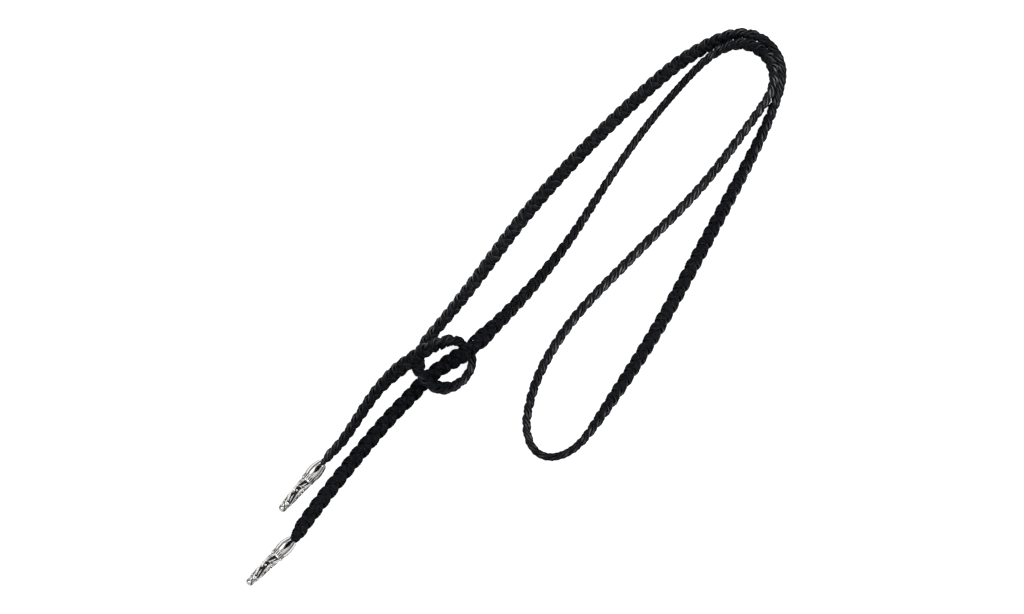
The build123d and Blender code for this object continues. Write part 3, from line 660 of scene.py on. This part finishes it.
def scroll_relief(turns, heights, radii):
    """How far the body's surface stands out from its plain cone, with four alike quarters."""
    relief = np.full(turns.shape, -FLOOR_SINK)
    z_line = np.linspace(RING_AT + RING_HEIGHT, END_RING_AT, 60)
    for k in range(-2, 3):
        quarter = 90.0 * k
        distance, share = nearest(turns, heights, radii, winding(z_line) + RIB_TURN + quarter, z_line)
        rib = ridge(distance, RIB_HALF_WIDTH, RIB_CROWN)
        relief = np.maximum(relief, rib * (RIB_HEIGHT + FLOOR_SINK) - FLOOR_SINK)
        boss_turn = BOSS_TURN + quarter
        boss_at = np.array([BOSS_AT, BOSS_AT + 1e-6])
        distance, share = nearest(turns, heights, radii, np.full(2, boss_turn), boss_at)
        boss = rounded(distance, BOSS_RADIUS) * BOSS_HEIGHT - BOSS_SINK
        relief = np.where(distance < BOSS_RADIUS, np.maximum(relief, boss), relief)
        for start, end, first, last in CURLS:
            spin = np.linspace(start, end, 40)
            reach = np.linspace(first, last, 40)
            curl_turns = boss_turn + np.degrees(reach * np.cos(np.radians(spin)) / BOSS_CENTRE_RADIUS)
            curl_heights = BOSS_AT + reach * np.sin(np.radians(spin)) * CURL_STRETCH
            distance, share = nearest(turns, heights, radii, curl_turns, curl_heights)
            curl = ridge(distance, CURL_HALF_WIDTH)
            relief = np.maximum(relief, curl * (CURL_HEIGHT + FLOOR_SINK) - FLOOR_SINK)
        for z, turn, length, slant, half_width in LEAVES:
            leaf_turns, leaf_heights = stroke_points(z, turn + quarter, length, slant)
            distance, share = nearest(turns, heights, radii, leaf_turns, leaf_heights)
            taper = np.clip(np.sin(np.pi * share), 0.0, 1.0) ** 0.6
            leaf = ridge(distance, half_width * LEAF_SWELL * taper + 1e-6)
            relief = np.maximum(relief, leaf * (CURL_HEIGHT + FLOOR_SINK) - FLOOR_SINK)
    return relief


def half_round(z, start, height, low, high):
    """Radius of a half-round moulding between two heights."""
    share = np.clip(1.0 - (2 * (z - start) / height - 1.0) ** 2, 0.0, 1.0)
    return low + (high - low) * share ** RING_CROWN


def tip_body(bm):
    """Band, rings, scrolled body and cap as one closed surface of revolution with relief."""
    straight = np.linspace(BAND_AT, DOME_AT, TIP_RINGS)
    dome = np.sin(np.linspace(0, math.pi / 2, 26))[1:] * (TIP_LENGTH - DOME_AT) + DOME_AT
    z = np.concatenate([[BAND_AT - 0.0005, BAND_AT - 0.0005], straight, dome])
    cone = np.interp(z, [RING_AT, END_RING_AT], [BODY_TOP_RADIUS, BODY_END_RADIUS])
    cap = np.interp(z, [END_RING_AT, DOME_AT], [CAP_RADIUS, CAP_SHOULDER_RADIUS])
    bell = np.sqrt(np.clip(1.0 - ((z - DOME_AT) / (TIP_LENGTH - DOME_AT)) ** 2, 0.0, 1.0))
    end_ring_end = END_RING_AT + RING_HEIGHT
    radii = np.where(z < RING_AT, BAND_RADIUS, cone)
    radii = np.where(z > end_ring_end, cap, radii)
    radii = np.where(z > DOME_AT, CAP_SHOULDER_RADIUS * bell, radii)
    in_ring = (z >= RING_AT) & (z <= RING_AT + RING_HEIGHT)
    ring = half_round(z, RING_AT, RING_HEIGHT, BODY_TOP_RADIUS, RING_RADIUS)
    radii = np.where(in_ring, ring, radii)
    in_end_ring = (z >= END_RING_AT) & (z <= end_ring_end)
    end_ring = half_round(z, END_RING_AT, RING_HEIGHT, CAP_RADIUS - END_RING_SINK, END_RING_RADIUS)
    radii = np.where(in_end_ring, end_ring, radii)
    radii[0] = 1e-9
    radii[1] = BAND_RADIUS - 0.0004
    turns = np.arange(TIP_POINTS) * 360.0 / TIP_POINTS
    turn_grid, z_grid = np.meshgrid(turns, z)
    radius_grid = np.repeat(radii[:, None], TIP_POINTS, axis=1)
    relief = np.zeros(radius_grid.shape)
    body = (z > RING_AT + RING_HEIGHT) & (z < END_RING_AT)
    quarter = TIP_POINTS // 4
    first = [grid[body][:, :quarter] for grid in (turn_grid, z_grid, radius_grid)]
    relief[body] = np.tile(scroll_relief(*first), (1, 4))
    band = (z > BAND_AT) & (z < RING_AT)
    flute = np.abs(np.sin(np.radians(turn_grid * FLUTES / 2))) ** FLUTE_ROUNDNESS
    fade = np.clip((RING_AT - z_grid) / FLUTE_RUNOUT, 0, 1) * np.clip((z_grid - BAND_AT) / FLUTE_RUNOUT, 0, 1)
    relief = np.where(band[:, None], (flute - 1.0) * FLUTE_DEPTH * fade, relief)
    on_cap = ((z > end_ring_end) & (z < DOME_AT + 0.0004))[:, None]
    slant = (z_grid - (end_ring_end + DOME_AT) / 2) / CAP_RADIUS * CUT_SLANT
    one_way = np.abs(np.sin(np.radians((turn_grid + slant) * 2)))
    other_way = np.abs(np.sin(np.radians((turn_grid - slant) * 2)))
    cross = np.minimum(one_way, other_way)
    relief = np.where(on_cap, -CUT_DEPTH * np.exp(-(cross / CUT_WIDTH) ** 2), relief)
    grid = radius_grid + relief
    a = np.radians(turn_grid)
    rings = np.stack([grid * np.cos(a), grid * np.sin(a), z_grid], axis=2)
    proud = np.clip((relief + 0.00012) / 0.00022, 0.0, 1.0)
    ring_proud = np.clip((grid - cone[:, None] + 0.0001) / 0.0004, 0, 1)
    proud = np.where((in_ring | in_end_ring)[:, None], ring_proud, proud)
    grid_tube(bm, rings, {"proud": proud}, (z * 1000.0, 1.0))


def petal_radius(z):
    """Outer radius of the petals, through the mouth, the bulge and the band."""
    bow = np.polyfit([0.0, BULGE_AT, BAND_AT], [MOUTH_RADIUS, BULGE_RADIUS, BAND_RADIUS], 2)
    return np.polyval(bow, z)


def slot_half_width(z):
    """Half the gap between two petals at a height."""
    opening = np.clip(z / SLOT_WIDEST_AT, 0, 1) * math.pi / 2
    closing = np.clip((z - SLOT_WIDEST_AT) / (SLOT_LENGTH - SLOT_WIDEST_AT), 0, 1) * math.pi / 2
    low = SLOT_MOUTH_WIDTH / 2 + (SLOT_WIDTH - SLOT_MOUTH_WIDTH) / 2 * np.sin(opening)
    high = SLOT_WIDTH / 2 * np.cos(closing)
    return np.where(z < SLOT_WIDEST_AT, low, high)


def tip_petals(bm):
    """Four petals that open round the braid's end, with dark slots between them."""
    for k in range(PETALS):
        petal = bmesh.new()
        petal_layer = petal.verts.layers.float.new("proud")
        made = bmesh.ops.create_grid(petal, x_segments=PETAL_STEPS, y_segments=PETAL_STEPS * 2, size=1.0)
        middle = math.radians(360.0 / PETALS * (k + 0.5))
        for vertex in made["verts"]:
            t, s = vertex.co.x, (vertex.co.y + 1.0) / 2
            start = PETAL_BOW * t ** 4
            z = start + (BAND_AT + 0.0001 - start) * s
            radius = float(petal_radius(z))
            half = math.pi / PETALS - float(slot_half_width(z)) / radius
            fade = min(1.0, (1.0 - s) / 0.12)
            rim = math.exp(-((1.0 - abs(t)) / 0.20) ** 2)
            groove = math.exp(-((abs(t) - RIM_GROOVE_AT) / RIM_GROOVE_WIDTH) ** 2)
            radius += (RIM_HEIGHT * rim - RIM_GROOVE_DEPTH * groove) * fade
            a = middle + half * t
            vertex.co = (radius * math.cos(a), radius * math.sin(a), z)
            vertex[petal_layer] = (1.0 - groove * fade) if s < 0.98 else 0.0
        bmesh.ops.solidify(petal, geom=petal.faces[:], thickness=PETAL_WALL)
        for vertex in petal.verts:
            depth = petal_radius(vertex.co.z) - math.hypot(vertex.co.x, vertex.co.y)
            if depth > PETAL_WALL * 0.3:
                vertex[petal_layer] = 0.0
        bmesh.ops.recalc_face_normals(petal, faces=petal.faces)
        held = bpy.data.meshes.new("petal")
        petal.to_mesh(held)
        petal.free()
        bm.from_mesh(held)
        bpy.data.meshes.remove(held)


def cast_tip(letter, place, material):
    """One cast silver tip where it lies."""
    bm = bmesh.new()
    tip_body(bm)
    close_up(bm)
    tip_petals(bm)
    bmesh.ops.transform(bm, matrix=place, verts=bm.verts)
    return finish_piece(bm, f"cast_tip_{letter}", material, f"silver_tip_{letter}")


def floor():
    """Plain pale floor."""
    bm = bmesh.new()
    bmesh.ops.create_grid(bm, x_segments=1, y_segments=1, size=FLOOR_SIZE / 2)
    mesh = bpy.data.meshes.new("floor")
    bm.to_mesh(mesh)
    bm.free()
    material, tree, surface = new_material("pale_floor")
    surface.inputs["Base Color"].default_value = (0.66, 0.66, 0.66, 1)
    surface.inputs["Roughness"].default_value = 1.0
    surface.inputs["Specular IOR Level"].default_value = 0.0
    surface.inputs["Emission Color"].default_value = (1, 1, 1, 1)
    surface.inputs["Emission Strength"].default_value = 0.84
    mesh.materials.append(material)
    made = bpy.data.objects.new("floor", mesh)
    made.visible_glossy = False
    bpy.context.scene.collection.objects.link(made)


def area_light(name, place, target, size, power):
    """A white square light at a place, turned to a target."""
    light = bpy.data.lights.new(name, "AREA")
    light.size = size
    light.energy = power
    holder = bpy.data.objects.new(name, light)
    holder.location = place
    holder.rotation_euler = (Vector(target) - Vector(place)).to_track_quat("-Z", "Y").to_euler()
    bpy.context.scene.collection.objects.link(holder)


def studio():
    """Soft light from all round with a key from the picture's right."""
    world = bpy.data.worlds.new("studio")
    bpy.context.scene.world = world
    world.use_nodes = True
    tree = world.node_tree
    background = tree.nodes["Background"]
    direction = add_node(tree, "ShaderNodeTexCoord").outputs["Generated"]
    upness = add_node(tree, "ShaderNodeSeparateXYZ", i0=direction).outputs["Z"]
    share = {"operation": "MULTIPLY_ADD"}
    height = add_node(tree, "ShaderNodeMath", share, i0=upness, i1=0.5, i2=0.5).outputs[0]
    dome = ramp(tree, height, (0.11, 0.0), (0.23, 1.4), (0.48, 1.4), (0.53, 0.02), (0.67, 0.15), (0.90, 1.0))
    tree.links.new(dome, background.inputs["Color"])
    background.inputs["Strength"].default_value = 0.75
    turn = math.radians(VIEW_TURN)
    right = Vector((math.sin(turn), math.cos(turn), 0))
    upward = Vector((-math.cos(turn), math.sin(turn), 0))
    target = Vector((0, 0, 0))
    up = Vector((0, 0, 1))
    area_light("key", right * 0.8 + upward * 0.5 + up * 1.1, target, size=0.6, power=9.0)
    area_light("fill", right * -0.8 + upward * 0.5 + up * 1.2, target, size=0.9, power=4.0)


def camera():
    """Long lens straight above the necklace."""
    data = bpy.data.cameras.new("camera")
    data.sensor_width = SENSOR_WIDTH
    data.lens = SENSOR_WIDTH * VIEW_HEIGHT / VIEW_WIDTH
    data.clip_end = 50.0
    turn = math.radians(VIEW_TURN)
    right = Vector((math.sin(turn), math.cos(turn), 0))
    upward = Vector((-math.cos(turn), math.sin(turn), 0))
    holder = bpy.data.objects.new("camera", data)
    rotation = Matrix((right, upward, (0, 0, 1))).transposed().to_4x4()
    holder.matrix_world = Matrix.Translation((*VIEW_CENTRE, VIEW_HEIGHT)) @ rotation
    bpy.context.scene.collection.objects.link(holder)
    bpy.context.scene.camera = holder


def main():
    bpy.context.scene.view_settings.view_transform = "Standard"
    leather = leather_material()
    silver = silver_material()
    tip_a_at = tip_matrix(TIP_A_MOUTH, TIP_A_HEADING)
    tip_b_at = tip_matrix(TIP_B_MOUTH, TIP_B_HEADING)
    # The sockets take the painted sheen of the route's ends.
    rows = socket_rows(tip_a_at, END_ROLL_A, ROUTE[0][PAINTED_SHEEN]) + free_rows()
    rows += socket_rows(tip_b_at, END_ROLL_B, ROUTE[-1][PAINTED_SHEEN])[::-1]
    stations = braid_stations(rows)
    for number in range(LACES):
        braided_lace(number, stations, leather)
    cast_tip("a", tip_a_at, silver)
    cast_tip("b", tip_b_at, silver)
    floor()
    studio()
    camera()


main()
